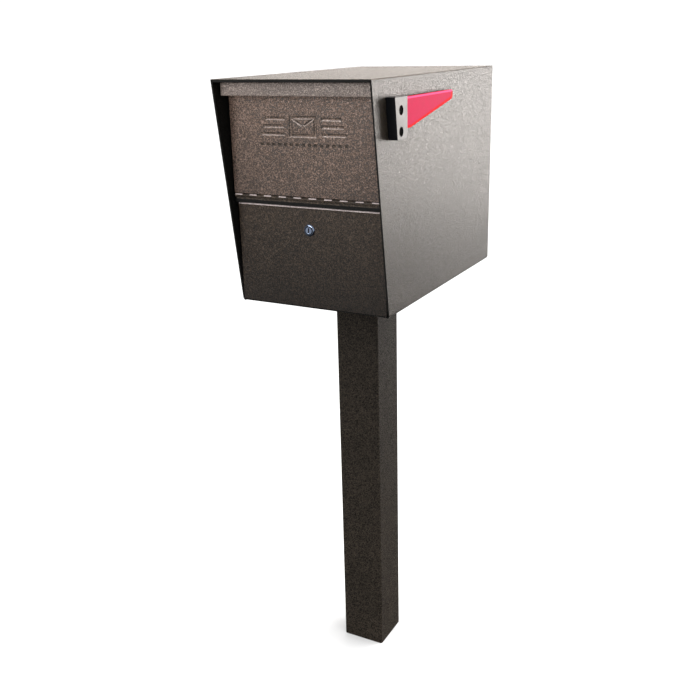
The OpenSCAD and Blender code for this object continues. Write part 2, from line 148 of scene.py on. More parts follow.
class MailboxFinish(bpy.types.PropertyGroup):
    """Colours of the painted parts and the flag, and the coat's grain."""

    hopper_peak: bpy.props.StringProperty(
        name="Hopper door grain", description="Raised grain of the hopper door's coat",
        default="#8A7163")
    hopper_valley: bpy.props.StringProperty(
        name="Hopper door ground", description="Hollows of the hopper door's coat",
        default="#2C2119")
    # The pull lip's colours are painted light: a paler, greyer copy of the door's coat
    lip_peak: bpy.props.StringProperty(
        name="Pull lip grain", description="Raised grain of the pull lip's coat", default="#96887F")
    lip_valley: bpy.props.StringProperty(
        name="Pull lip ground", description="Hollows of the pull lip's coat", default="#4A403B")
    # The access door's colours are painted shade: a dark copy of the bronze coat
    access_peak: bpy.props.StringProperty(
        name="Access door grain", description="Raised grain of the access door's coat",
        default="#463A2F")
    access_valley: bpy.props.StringProperty(
        name="Access door ground", description="Hollows of the access door's coat",
        default="#140F0B")
    shell_peak: bpy.props.StringProperty(
        name="Body grain", description="Raised grain of the body's coat", default="#40382E")
    shell_valley: bpy.props.StringProperty(
        name="Body ground", description="Hollows of the body's coat", default="#17120D")
    # The roof's colours are painted light from the sky: paler than the body's
    roof_peak: bpy.props.StringProperty(
        name="Roof grain", description="Raised grain of the roof's coat", default="#6A5B4A")
    roof_valley: bpy.props.StringProperty(
        name="Roof ground", description="Hollows of the roof's coat", default="#2A2118")
    # The post's colours are near black, partly as painted shade
    post_peak: bpy.props.StringProperty(
        name="Post grain", description="Raised grain of the post's coat", default="#3A332B")
    post_valley: bpy.props.StringProperty(
        name="Post ground", description="Hollows of the post's coat", default="#0E0B08")
    flag_face: bpy.props.StringProperty(
        name="Flag face", description="Flat face of the fluorescent flag", default="#B01240")
    # The top bevel's colour is paler: a painted highlight
    flag_top: bpy.props.StringProperty(
        name="Flag top rim", description="Upper bevel of the flag", default="#E8487C")
    # The rim gets the strongest painted glow
    flag_rim: bpy.props.StringProperty(
        name="Flag rim", description="Lower bevel of the flag, where the light gathers",
        default="#B80010")
    grain: bpy.props.FloatProperty(
        name="Grain", description="Distance between the coat's ridges",
        default=3.0 * MM, unit="LENGTH")
    grain_depth: bpy.props.FloatProperty(
        name="Grain depth", description="Height of the coat's ridges",
        default=0.5 * MM, unit="LENGTH")


class MailboxSizes(bpy.types.PropertyGroup):
    """Sizes of the shapes that are worked in mesh."""

    sheet_edge: bpy.props.FloatProperty(
        name="Sheet edge", description="Rounding on the cut edges of the sheet",
        default=0.5 * MM, unit="LENGTH")
    door_fold: bpy.props.FloatProperty(
        name="Door fold", description="Outer radius of the access door's top fold",
        default=2.4 * MM, unit="LENGTH")
    lip_fold: bpy.props.FloatProperty(
        name="Lip fold", description="Outer radius of the pull lip's folds",
        default=2.0 * MM, unit="LENGTH")
    post_edge: bpy.props.FloatProperty(
        name="Post edge", description="Rounding on the post's cut ends",
        default=0.6 * MM, unit="LENGTH")
    relief: bpy.props.FloatProperty(
        name="Relief", description="Depth of the pressed envelope sign",
        default=1.3 * MM, unit="LENGTH")
    sign_line: bpy.props.FloatProperty(
        name="Sign line", description="Width of the pressed sign's lines",
        default=6.0 * MM, unit="LENGTH")
    sign_slope: bpy.props.FloatProperty(
        name="Sign slope", description="Width of the slopes beside the sign's lines",
        default=1.7 * MM, unit="LENGTH")
    sign_width: bpy.props.FloatProperty(
        name="Sign width", description="Width of the pressed sign",
        default=168 * MM, unit="LENGTH")
    flag_bevel: bpy.props.FloatProperty(
        name="Flag bevel", description="Width of the polished bevel round the flag",
        default=5.0 * MM, unit="LENGTH")
    flag_drop: bpy.props.FloatProperty(
        name="Flag drop", description="How far the polished bevel falls to the flag's edge",
        default=1.5 * MM, unit="LENGTH")
    # Below this the hopper hinge's frame leaf is painted near black as painted shade
    hinge_shade: bpy.props.FloatProperty(
        name="Hinge shade", description="From the hinge's axis down to where its leaf lies in shade",
        default=7.0 * MM, unit="LENGTH")


class MailboxStage(bpy.types.PropertyGroup):
    """Where the camera stands, measured from the front and the floor of the body."""

    right: bpy.props.FloatProperty(
        name="Right", description="Camera to the right of the middle",
        default=0.8057, unit="LENGTH")
    ahead: bpy.props.FloatProperty(
        name="Ahead", description="Camera ahead of the body's foremost point",
        default=1.2881, unit="LENGTH")
    above: bpy.props.FloatProperty(
        name="Above", description="Camera above the body's floor",
        default=0.4648, unit="LENGTH")
    yaw: bpy.props.FloatProperty(
        name="Yaw", description="Turn to the left of straight on",
        default=math.radians(28.6), subtype="ANGLE")
    pitch: bpy.props.FloatProperty(
        name="Pitch", description="Tilt below the horizon",
        default=math.radians(19.18), subtype="ANGLE")
    roll: bpy.props.FloatProperty(
        name="Roll", description="Lean of the camera",
        default=math.radians(-1.42), subtype="ANGLE")
    lens: bpy.props.FloatProperty(
        name="Lens", description="Focal length on a 36 mm sensor", default=46.35, unit="CAMERA")


# ---------------------------------------------------------------- materials


def linear(hex_colour):
    """Turns an sRGB hex colour into the linear RGBA that shaders take."""
    text = hex_colour.lstrip("#")
    parts = [int(text[i:i + 2], 16) / 255 for i in (0, 2, 4)]
    return [p / 12.92 if p <= 0.04045 else ((p + 0.055) / 1.055) ** 2.4 for p in parts] + [1.0]


def add(tree, kind, values=None, links=None, **settings):
    """Adds one shader node with its settings, socket values and incoming links."""
    made = tree.nodes.new(kind)
    for name, value in settings.items():
        setattr(made, name, value)
    for socket, value in (values or {}).items():
        made.inputs[socket].default_value = value
    for socket, source in (links or {}).items():
        tree.links.new(source, made.inputs[socket])
    return made


def blank(name):
    """A new material whose tree holds only a Principled shader and an output."""
    made = bpy.data.materials.new(name)
    made.use_nodes = True
    tree = made.node_tree
    tree.nodes.clear()
    shader = add(tree, "ShaderNodeBsdfPrincipled")
    add(tree, "ShaderNodeOutputMaterial", links={"Surface": shader.outputs["BSDF"]})
    return made, tree, shader


def hammered_coat(name, valley, peak, roughness, shine, relief, painted_shading=None):
    """Hammer-finish bronze powder coat: baked so that it crawls into short worm-like ridges.

    The ridges carry pale flecks on a darker ground: partly painted highlight and painted shade in the
    colour, and partly the bump catching the light. The skin is half gloss.
    valley and peak colour the hollows and the ridges, and relief multiplies the ridges' height.
    The last argument gives two heights and the tones there: painted light and shade that make the coat
    lighter or darker with height."""
    finish = bpy.context.scene.mailbox_finish
    made, tree, shader = blank(name)
    place = add(tree, "ShaderNodeTexCoord").outputs["Object"]
    # Noise that is folded about its middle gives a thin winding ridge along each fold
    worms = add(tree, "ShaderNodeTexNoise",
                {"Scale": 1 / finish.grain, "Detail": 1.0, "Roughness": 0.6, "Distortion": 0.6},
                {"Vector": place})
    centred = add(tree, "ShaderNodeMath", {1: 0.5}, {0: worms.outputs["Fac"]}, operation="SUBTRACT")
    folded = add(tree, "ShaderNodeMath", None, {0: centred.outputs[0]}, operation="ABSOLUTE")
    ridge = add(tree, "ShaderNodeMapRange",
                {"From Min": RIDGE_TOP, "From Max": RIDGE_FOOT, "To Min": 1.0, "To Max": 0.0},
                {"Value": folded.outputs[0]}, interpolation_type="SMOOTHSTEP")
    # Finer noise breaks the ridges into flecks
    speck = add(tree, "ShaderNodeTexNoise", {"Scale": SPECKS_PER_RIDGE / finish.grain, "Detail": 1.0},
                {"Vector": place})
    broken = add(tree, "ShaderNodeMapRange",
                 {"From Min": 0.38, "From Max": 0.6, "To Min": FAINTEST_FLECK, "To Max": 1.0},
                 {"Value": speck.outputs["Fac"]})
    fleck = add(tree, "ShaderNodeMath", None, {0: ridge.outputs[0], 1: broken.outputs[0]},
                operation="MULTIPLY")
    # Broad patches bake a little lighter or darker
    cloud = add(tree, "ShaderNodeTexNoise", {"Scale": 1 / PATCH, "Detail": 2.0}, {"Vector": place})
    tone = add(tree, "ShaderNodeMapRange",
               {"From Min": 0.3, "From Max": 0.7, "To Min": 1 - PATCH_TONE, "To Max": 1 + PATCH_TONE},
               {"Value": cloud.outputs["Fac"]})
    # Partly painted highlight and shade: the hollows are painted darker and the ridges paler
    colour = add(tree, "ShaderNodeMix", {6: linear(valley), 7: linear(peak)},
                 {0: fleck.outputs[0]}, data_type="RGBA")
    toned = add(tree, "ShaderNodeVectorMath", None,
                {0: colour.outputs[2], 1: tone.outputs[0]}, operation="MULTIPLY")
    # Painted light and shade: the colour is scaled from one tone to another between two heights
    if painted_shading:
        low, high, low_tone, high_tone = painted_shading
        height = add(tree, "ShaderNodeSeparateXYZ", None, {0: place}).outputs["Z"]
        painted_tone = add(tree, "ShaderNodeMapRange",
                        {"From Min": low, "From Max": high, "To Min": low_tone, "To Max": high_tone},
                        {"Value": height})
        toned = add(tree, "ShaderNodeVectorMath", None,
                    {0: toned.outputs[0], 1: painted_tone.outputs[0]}, operation="MULTIPLY")
    tree.links.new(toned.outputs[0], shader.inputs["Base Color"])
    # The ridges are rubbed smoother than the hollows
    gloss = add(tree, "ShaderNodeMapRange",
                {"To Min": roughness + HOLLOW_DULLNESS, "To Max": roughness - RIDGE_POLISH},
                {"Value": fleck.outputs[0]})
    tree.links.new(gloss.outputs[0], shader.inputs["Roughness"])
    bump = add(tree, "ShaderNodeBump", {"Strength": 0.8, "Distance": finish.grain_depth * relief},
               {"Height": ridge.outputs[0]})
    tree.links.new(bump.outputs[0], shader.inputs["Normal"])
    shader.inputs["Specular IOR Level"].default_value = shine
    return made


def plain_finish(name, colour, roughness, metallic=0.0, wear=0.08, grain=1.5 * MM, depth=0.03 * MM,
                 shine=0.5, sockets=None):
    """A finish of one colour with faint cloudy wear in its gloss and a fine surface grain."""
    made, tree, shader = blank(name)
    place = add(tree, "ShaderNodeTexCoord").outputs["Object"]
    cloud = add(tree, "ShaderNodeTexNoise", {"Scale": 1 / SMUDGE, "Detail": 3.0}, {"Vector": place})
    gloss = add(tree, "ShaderNodeMapRange",
                {"To Min": max(roughness - wear, MIRROR), "To Max": roughness + wear},
                {"Value": cloud.outputs["Fac"]})
    tree.links.new(gloss.outputs[0], shader.inputs["Roughness"])
    base = Vector(linear(colour)[:3])
    shade = add(tree, "ShaderNodeMix",
                {6: [*(base * SMUDGE_DARK), 1.0], 7: [*(base * SMUDGE_LIGHT), 1.0]},
                {0: cloud.outputs["Fac"]}, data_type="RGBA")
    tree.links.new(shade.outputs[2], shader.inputs["Base Color"])
    fine = add(tree, "ShaderNodeTexNoise", {"Scale": 1 / grain, "Detail": 2.0}, {"Vector": place})
    relief = add(tree, "ShaderNodeBump", {"Strength": 0.5, "Distance": depth},
                 {"Height": fine.outputs["Fac"]})
    tree.links.new(relief.outputs[0], shader.inputs["Normal"])
    shader.inputs["Metallic"].default_value = metallic
    shader.inputs["Specular IOR Level"].default_value = shine
    for socket, value in (sockets or {}).items():
        shader.inputs[socket].default_value = value
    return made


def hammered_finishes(tints):
    """What hammered_coat takes for each hammered finish."""
    hopper_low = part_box("hopper_door_skin")[0].z
    hopper_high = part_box("hopper_pull_lip")[0].z
    access_low, access_high = (corner.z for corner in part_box("access_door_skin"))
    post_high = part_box("post_tube")[1].z
    return {
        # Upper door: the warmest coat, with bold pale flecks, painted lighter at its top and darker
        # towards its foot as painted light and shade
        "hopper_coat": ("hammered_bronze_hopper", tints.hopper_valley, tints.hopper_peak,
                        0.36, 0.5, 1.6, (hopper_low, hopper_high, 0.72, 1.15)),
        # Pull lip: greyer and paler than the door, as painted light from the brighter sky above it
        "lip_painted_light_coat": ("hammered_bronze_lip", tints.lip_valley, tints.lip_peak, 0.38, 0.5, 1.4),
        # Folds and knuckles: a painted highlight, a pale, nearly smooth line where their bends catch
        # the light
        "painted_highlight_coat": ("hammered_bronze_worn", "#A89A98", "#DCCFCD", 0.36, 0.5, 0.5),
        # Lower door: painted shade for the hood's shadow, a dark brown copy of the coat, and painted
        # darker still towards its foot
        "painted_shade_coat": ("hammered_bronze_access", tints.access_valley, tints.access_peak,
                        0.42, 0.3, 1.4, (access_low, access_high, 0.5, 1.35)),
        # Sides and back: smoother and glossier, so that broad soft highlights run over them
        "shell_coat": ("hammered_bronze_shell", tints.shell_valley, tints.shell_peak,
                       0.29, 0.36, 0.9),
        # Slopes of the pressed sign that face up: a painted highlight, a paler line along each
        "sign_painted_highlight_coat": ("hammered_bronze_sign", "#6F6058", "#BBAAA0", 0.38, 0.5, 0.6),
        # Roof: painted pale as painted light from the sky, and with little shine
        "roof_painted_light_coat": ("hammered_bronze_roof", tints.roof_valley, tints.roof_peak, 0.4, 0.2, 0.5),
        # Post: the dullest coat, near black, partly as painted shade, a little browner, and painted
        # lighter towards its foot as painted light
        "post_coat": ("hammered_bronze_post", tints.post_valley, tints.post_peak,
                      0.5, 0.12, 1.4, (0, post_high, 1.65, 0.95)),
        # Painted shade: near black and half matt, inside the hood, in the gaps round the doors and in
        # the keyway
        "painted_shade_black": ("thin_coat_inside", "#080807", "#12110F", 0.6, 0.15, 0.4),
    }


def plain_finishes():
    """What plain_finish takes for each plated, moulded or blackened finish."""
    return {
        # Zinc-plated mild steel: grey, softly shining, a little cloudy
        "zinc": dict(name="zinc_plated_steel", colour="#B4B2AE", roughness=0.36, metallic=1.0),
        # Bright chrome on a die-cast lock: mirror-like, with faint key scratches
        "chrome": dict(name="chrome_plated_zinc", colour="#A3B2CC", roughness=0.16, metallic=1.0,
                       wear=0.05, grain=0.6 * MM, depth=0.01 * MM),
        # The same plating on the lock's face, brushed softer, and painted darker as a painted dark
        # reflection
        "chrome_painted_dark": dict(name="chrome_zinc_painted_dark", colour="#262A31", roughness=0.3,
                               metallic=1.0, wear=0.05, grain=0.6 * MM, depth=0.02 * MM),
        # Injection-moulded black ABS: fine spark texture, and a soft weak sheen
        "moulding": dict(name="moulded_black_abs", colour="#121316", roughness=0.34, wear=0.05,
                         grain=0.8 * MM, depth=0.02 * MM, shine=0.15),
        # Bumpers and stop sleeves: matt, slightly grey rubber
        "rubber": dict(name="moulded_black_rubber", colour="#161616", roughness=0.75),
        # Black-oxide rivets: black and nearly matt, also painted shade for the dark holes they sit in
        "black_steel": dict(name="black_oxide_steel_and_shade", colour="#020202", roughness=0.9, wear=0.05,
                            shine=0.05),
    }


def acrylic_finish(name, tints):
    """Cast fluorescent acrylic, given a painted glow of its own colour that stands for the dye's red,
    most of all on its bevels.

    The face stays an even, clean red, because its painted glow outweighs what it mirrors."""
    # Each part's painted glow: emission on a part that is no lamp
    tint, painted_glow = {"flag_face": (tints.flag_face, 0.08), "flag_top": (tints.flag_top, 0.12),
                  "flag_rim": (tints.flag_rim, 0.3)}[name]
    return plain_finish(
        f"fluorescent_acrylic_{name}", tint, roughness=0.5, wear=0.03, grain=6 * MM, depth=0.01 * MM,
        sockets={"IOR": 1.08, "Emission Color": linear(tint), "Emission Strength": painted_glow})


finishes_made = {}


def finish_of(name):
    """The object's finishes, each made once and kept by name."""
    if name in finishes_made:
        return finishes_made[name]
    tints = bpy.context.scene.mailbox_finish
    coats, plain = hammered_finishes(tints), plain_finishes()
    if name in coats:
        finishes_made[name] = hammered_coat(*coats[name])
    elif name in plain:
        finishes_made[name] = plain_finish(**plain[name])
    else:
        finishes_made[name] = acrylic_finish(name, tints)
    return finishes_made[name]


# ---------------------------------------------------------------- mesh helpers


def keep(node, bm, finishes):
    """Turns a bmesh into the piece that stands for a fitted node and rides on its body."""
    name = f"{node}_piece"
    mesh = bpy.data.meshes.new(name)
    bm.to_mesh(mesh)
    bm.free()
    for polygon in mesh.polygons:
        polygon.use_smooth = True
    mesh.set_sharp_from_angle(angle=SMOOTH)
    piece = bpy.data.objects.new(name, mesh)
    bpy.context.scene.collection.objects.link(piece)
    for finish in finishes:
        mesh.materials.append(finish_of(finish))
    crisp = piece.modifiers.new("even_shading", "WEIGHTED_NORMAL")
    crisp.keep_sharp = True
    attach(piece, body_holding(node))
    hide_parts(node)


def merged_copy(node):
    """A bmesh of a fitted node, its loose triangles joined and its flats made whole faces."""
    bm = bmesh.new()
    bm.from_mesh(frame["nodes"][node].data)
    bmesh.ops.remove_doubles(bm, verts=bm.verts, dist=MERGE)
    bmesh.ops.dissolve_limit(bm, angle_limit=FLAT, verts=bm.verts, edges=bm.edges)
    return bm


def is_sharp(edge):
    """Whether an edge joins two faces at more than the angle that is rounded."""
    return len(edge.link_faces) == 2 and edge.calc_face_angle(0) > SHARP


def round_edges(bm, width, segments=2):
    """Bevels the sharp edges that are long enough for the width."""
    edges = [e for e in bm.edges if is_sharp(e) and e.calc_length() > LONG_ENOUGH * width]
    bmesh.ops.bevel(bm, geom=edges, offset=width, offset_type="OFFSET", affect="EDGES",
                    segments=segments, profile=0.5, clamp_overlap=True, material=-1)


def round_fold(bm, edges, radius):
    """Bends the chosen edges to a sheet's fold of the given outer radius."""
    bmesh.ops.bevel(bm, geom=edges, offset=radius, offset_type="OFFSET", affect="EDGES",
                    segments=4, profile=0.5, clamp_overlap=True, material=-1)


def press_bars(bm, face_y, bars, depth, slope):
    """Presses straight bars into the flat face at face_y, with sloping sides."""

    def front():
        return [f for f in bm.faces
                if f.normal.y < -SQUARELY and abs(f.calc_center_median().y - face_y) < IN_PLANE]

    def axes(bar):
        return (Vector((math.cos(bar.turn), 0, math.sin(bar.turn))),
                Vector((-math.sin(bar.turn), 0, math.cos(bar.turn))))

    def inside(point, bar):
        along, across = axes(bar)
        offset = point - Vector((bar.x, face_y, bar.z))
        return abs(offset.dot(along)) < bar.length / 2 and abs(offset.dot(across)) < bar.width / 2

    def reaches(face, bar, half_x, half_z):
        wide = [v.co.x for v in face.verts]
        tall = [v.co.z for v in face.verts]
        return (min(wide) < bar.x + half_x and max(wide) > bar.x - half_x
                and min(tall) < bar.z + half_z and max(tall) > bar.z - half_z)

    for bar in bars:
        along, across = axes(bar)
        middle = Vector((bar.x, face_y, bar.z))
        half_x = abs(along.x) * bar.length / 2 + abs(across.x) * bar.width / 2
        half_z = abs(along.z) * bar.length / 2 + abs(across.z) * bar.width / 2
        for axis, reach in ((along, bar.length / 2), (across, bar.width / 2)):
            for side in (-1, 1):
                near = [f for f in front() if reaches(f, bar, half_x, half_z)]
                edges = dict.fromkeys(e for f in near for e in f.edges)
                corners = dict.fromkeys(v for f in near for v in f.verts)
                bmesh.ops.bisect_plane(bm, geom=[*near, *edges, *corners], dist=CUT_SNAP,
                                       plane_co=middle + axis * side * reach, plane_no=axis)
    pressed = [f for f in front() if any(inside(f.calc_center_median(), bar) for bar in bars)]
    bmesh.ops.inset_region(bm, faces=pressed, thickness=slope, depth=-depth, use_even_offset=True,
                           use_boundary=True)
    bmesh.ops.dissolve_limit(bm, angle_limit=FLAT, verts=bm.verts, edges=bm.edges)


def body_holding(node):
    """The name of the body that a fitted node belongs to."""
    bodies = frame["record"]["behaviour"]["bodies"]
    return next(name for name, members in bodies.items() if node in members)


def slice_all(bm, point, across):
    """Cuts every face that a plane crosses, so that its two sides can be painted apart."""
    bmesh.ops.bisect_plane(bm, geom=[*bm.verts, *bm.edges, *bm.faces], dist=CUT_SNAP,
                           plane_co=point, plane_no=across)


def paint_faces(bm, paint):
    """Gives each face the finish whose index paint picks from its middle and its normal."""
    bm.normal_update()
    for face in bm.faces:
        face.material_index = paint(face.calc_center_median(), face.normal)


def rounded_node(node, finishes, width, segments=2, paint=None, cut_at=None):
    """Rebuilds a fitted node with rounded edges.

    cut_at is a height where its faces are cut so that the paint can change there."""
    bm = merged_copy(node)
    round_edges(bm, width, segments)
    if cut_at:
        slice_all(bm, (0, 0, cut_at), (0, 0, 1))
    if paint:
        paint_faces(bm, paint)
    keep(node, bm, finishes)


# ---------------------------------------------------------------- pieces


class MAILBOX_OT_bodywork(bpy.types.Operator):
    """Body wrap, roof and back panel, with painted shade on the hood's inside"""

    bl_idname = "mailbox.bodywork"
    bl_label = "Bodywork"

    def execute(self, context):
        edge = context.scene.mailbox_sizes.sheet_edge
        wrap_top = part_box("body_wrap")[1].z
        # Index 1 takes the near black painted shade on faces that look into the hood
        outside, inside = 0, 1

        def wrap_paint(centre, normal):
            outward = normal.x * math.copysign(1, centre.x) > LEANS or normal.z < -LEANS
            return outside if outward and abs(normal.y) < MOSTLY else inside

        def roof_paint(centre, normal):
            on_rim = centre.z > wrap_top and (abs(normal.x) > MOSTLY or normal.y > MOSTLY)
            return outside if normal.z > LEANS or on_rim else inside

        def back_paint(centre, normal):
            return outside if normal.y > LEANS else inside

        rounded_node("body_wrap", ["shell_coat", "painted_shade_black"], edge, paint=wrap_paint)
        rounded_node("roof_panel", ["roof_painted_light_coat", "painted_shade_black"], edge, paint=roof_paint)
        rounded_node("back_panel", ["shell_coat", "painted_shade_black"], edge, paint=back_paint)
        # Parts inside the hood are painted near black all over as painted shade
        for node in ("crossbar", "header_angle", "door_jambs"):
            rounded_node(node, ["painted_shade_black"], edge)
        return {"FINISHED"}


class MAILBOX_OT_hopper_door(bpy.types.Operator):
    """Hopper door: skin, pull lip, cheeks, baffle and the pressed envelope sign"""

    bl_idname = "mailbox.hopper_door"
    bl_label = "Hopper door"

    def execute(self, context):
        sizes = context.scene.mailbox_sizes
        self.signed_skin(sizes)
        # The cheeks and baffle take the lower door's painted shade coat
        for node in ("hopper_cheek_left", "hopper_cheek_right", "hopper_baffle"):
            rounded_node(node, ["painted_shade_coat"], STAMPED_EDGE)
        self.pull_lip(sizes)
        return {"FINISHED"}

    def pull_lip(self, sizes):
        """A closed channel whose front folds and ends are rounded."""
        bm = merged_copy("hopper_pull_lip")
        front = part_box("hopper_pull_lip")[0].y
        folds = [e for e in bm.edges if is_sharp(e) and all(v.co.y < front + IN_PLANE for v in e.verts)]
        round_fold(bm, folds, sizes.lip_fold)
        keep("hopper_pull_lip", bm, ["lip_painted_light_coat"])

    def sign_bars(self, row, sizes):
        """The envelope's sides and flap, the speed lines beside it and the dashes below."""
        wide, tall, line = ENVELOPE_WIDTH, ENVELOPE_HEIGHT, sizes.sign_line
        sides = (-1, 1)
        bars = [Bar(0, row + side * (tall - line) / 2, wide, line) for side in sides]
        bars += [Bar(side * (wide - line) / 2, row, line, tall) for side in sides]
        rise = math.atan2((tall - line) / 2, (wide - line) / 2)
        flap = (wide - line) / 2 / math.cos(rise)
        bars += [Bar(side * wide / 4, row + tall / 4, flap, line * FLAP_LINE, side * rise)
                 for side in sides]
        longest = (sizes.sign_width - wide) / 2 - SIGN_GAP
        for level in (-1, 0, 1):
            length = longest * (1 - SPEED_LINE_CUT * (1 + level) / 2)
            offset = wide / 2 + SIGN_GAP + length / 2
            bars += [Bar(side * offset, row + level * SPEED_LINE_STEP, length, line) for side in sides]
        step = (sizes.sign_width + DASH_OVERHANG) / DASHES
        bars += [Bar((i - (DASHES - 1) / 2) * step, row - DASH_DROP, step * DASH_FILL, DASH_HEIGHT)
                 for i in range(DASHES)]
        return bars

    def signed_skin(self, sizes):
        """The door's skin with the sign pressed in."""
        bm = merged_copy("hopper_door_skin")
        round_edges(bm, sizes.sheet_edge)
        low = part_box("hopper_door_skin")[0]
        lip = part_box("hopper_pull_lip")[0].z
        row = low.z + SIGN_HEIGHT * (lip - low.z)
        press_bars(bm, low.y, self.sign_bars(row, sizes), sizes.relief, sizes.sign_slope)
        plain, painted_highlight_slope, dark_dashes_and_painted_shade = 0, 1, 2

        def sign_paint(centre, normal):
            sunk = low.y + IN_PLANE < centre.y < low.y + sizes.relief + IN_PLANE
            if not sunk or not low.z + FOOT_MARGIN < centre.z < lip:
                return plain
            # The row of dashes is painted dark all over; elsewhere the slopes that face up get a
            # painted highlight, and the other slopes painted shade
            if centre.z < row - DASH_ZONE * ENVELOPE_HEIGHT:
                return dark_dashes_and_painted_shade
            if normal.z > LEANS:
                return painted_highlight_slope
            return dark_dashes_and_painted_shade if normal.y > -NEARLY else plain

        paint_faces(bm, sign_paint)
        keep("hopper_door_skin", bm, ["hopper_coat", "sign_painted_highlight_coat", "painted_shade_coat"])


class MAILBOX_OT_access_door(bpy.types.Operator):
    """Access door skin and its stiffener"""

    bl_idname = "mailbox.access_door"
    bl_label = "Access door"

    def execute(self, context):
        sizes = context.scene.mailbox_sizes
        low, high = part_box("access_door_skin")
        bm = merged_copy("access_door_skin")
        fold = [e for e in bm.edges if len(e.link_faces) == 2
                and all(v.co.z > high.z - IN_PLANE and v.co.y < low.y + IN_PLANE for v in e.verts)]
        round_fold(bm, fold, sizes.door_fold)
        round_edges(bm, sizes.sheet_edge)
        fold_foot = high.z - sizes.door_fold - sizes.sheet_edge

        def skin_paint(centre, normal):
            # Only the fold's rounded crown gets the painted highlight
            return 1 if centre.z > fold_foot and normal.z > SLIGHTLY else 0

        paint_faces(bm, skin_paint)
        keep("access_door_skin", bm, ["painted_shade_coat", "painted_highlight_coat"])
        rounded_node("access_door_stiffener", ["painted_shade_coat"], STAMPED_EDGE)
        return {"FINISHED"}


class MAILBOX_OT_hinges(bpy.types.Operator):
    """Both piano hinges, with rounded knuckle ends"""

    bl_idname = "mailbox.hinges"
    bl_label = "Hinges"

    def execute(self, context):
        pin_low, pin_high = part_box("hopper_hinge_pin")
        shade = (pin_low.z + pin_high.z) / 2 - context.scene.mailbox_sizes.hinge_shade

        def door_leaf_paint(centre, normal):
            # The knuckles' crowns, which face up and out, get a painted highlight
            highlighted = KNUCKLE_HIGHLIGHT[0] < normal.z < KNUCKLE_HIGHLIGHT[1] and normal.y < 0
            return 1 if highlighted else 0

        def frame_leaf_paint(centre, normal):
            # Below the shade line the leaf is painted near black: painted shade under the knuckles
            return 1 if centre.z < shade else 0

        rounded_node("hopper_hinge_door_leaf", ["painted_shade_coat", "painted_highlight_coat"], KNUCKLE_EDGE,
                     paint=door_leaf_paint)
        rounded_node("hopper_hinge_frame_leaf", ["painted_shade_coat", "painted_shade_black"], KNUCKLE_EDGE,
                     paint=frame_leaf_paint, cut_at=shade)
        # The access door's hinge is painted near black all over as painted shade
        for node in ("access_hinge_door_leaf", "access_hinge_frame_leaf"):
            rounded_node(node, ["painted_shade_black"], KNUCKLE_EDGE)
        return {"FINISHED"}


class MAILBOX_OT_lock(bpy.types.Operator):
    """Cam lock: chrome body and its turning plug"""

    bl_idname = "mailbox.lock"
    bl_label = "Lock"

    def execute(self, context):
        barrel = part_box("lock_body")[0].y + LOCK_RIM

        def body_paint(centre, normal):
            # The flat face and the barrel behind it take the chrome painted dark as a painted dark
            # reflection
            return 1 if normal.y < -SQUARELY or centre.y > barrel else 0

        def plug_paint(centre, normal):
            # The keyway's walls are painted near black as painted shade
            shaded_keyway_wall = abs(normal.x) > NEARLY and abs(centre.x) < KEYWAY_HALF
            return 1 if shaded_keyway_wall else 0

        rounded_node("lock_body", ["chrome", "chrome_painted_dark"], STAMPED_EDGE, paint=body_paint)
        rounded_node("lock_plug", ["chrome", "painted_shade_black"], PLUG_EDGE, paint=plug_paint)
        return {"FINISHED"}


class MAILBOX_OT_flag(bpy.types.Operator):
    """Flag with a polished bevel, its bracket and rivets"""

    bl_idname = "mailbox.flag"
    bl_label = "Flag"

    def execute(self, context):
        self.flag(context.scene.mailbox_sizes)
        rounded_node("flag_bracket", ["moulding"], MOULDED_EDGE, 3)
        for node in ("flag_pivot_rivet", "flag_bracket_rivet"):
            rounded_node(node, ["black_steel"], STAMPED_EDGE)
        return {"FINISHED"}

    def flag(self, sizes):
        """A flat flag whose bevel falls away to the edge, broad at the tip and narrow on top."""
        bm = merged_copy("flag")
        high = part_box("flag")[1]
        bevel = sizes.flag_bevel
        # The bevel starts out of sight, under the bracket
        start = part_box("flag_bracket")[1].y - 2 * bevel
        slice_all(bm, (0, start, 0), (0, 1, 0))
        bm.normal_update()
        flat = [f for f in bm.faces if f.normal.x > SQUARELY and f.calc_center_median().y > start]
        band = bmesh.ops.inset_region(bm, faces=flat, thickness=bevel, depth=0,
                                      use_even_offset=True, use_boundary=True)["faces"]
        inner = [v for v in bm.verts if not set(v.link_faces).isdisjoint(flat)]
        outer = [v for v in bm.verts if not set(v.link_faces).isdisjoint(band) and v not in inner]
        # Where the flag is narrow, the corners that the inset crowds together become one
        bmesh.ops.remove_doubles(bm, verts=inner, dist=CROWDED * bevel)
        inner = [v for v in inner if v.is_valid]
        tip = [v for v in inner if v.co.y > high.y - 2 * bevel]
        bmesh.ops.translate(bm, verts=tip, vec=(0, -BROAD_TIP * bevel, 0))
        top = [v for v in inner if v.co.z > high.z - 1.5 * bevel]
        bmesh.ops.translate(bm, verts=top, vec=(0, 0, NARROW_TOP * bevel))
        falling = [v for v in outer if v.co.y > start + bevel / 2]
        bmesh.ops.translate(bm, verts=falling, vec=(-sizes.flag_drop, 0, 0))

        def flag_paint(centre, normal):
            # The upper bevel takes the paler colour of the painted highlight
            face, painted_highlight_bevel, lower = 0, 1, 2
            if abs(normal.x) > FLAG_FLAT:
                return face
            return painted_highlight_bevel if normal.x > MOSTLY and normal.z > SLIGHTLY else lower

        paint_faces(bm, flag_paint)
        keep("flag", bm, ["flag_face", "flag_top", "flag_rim"])


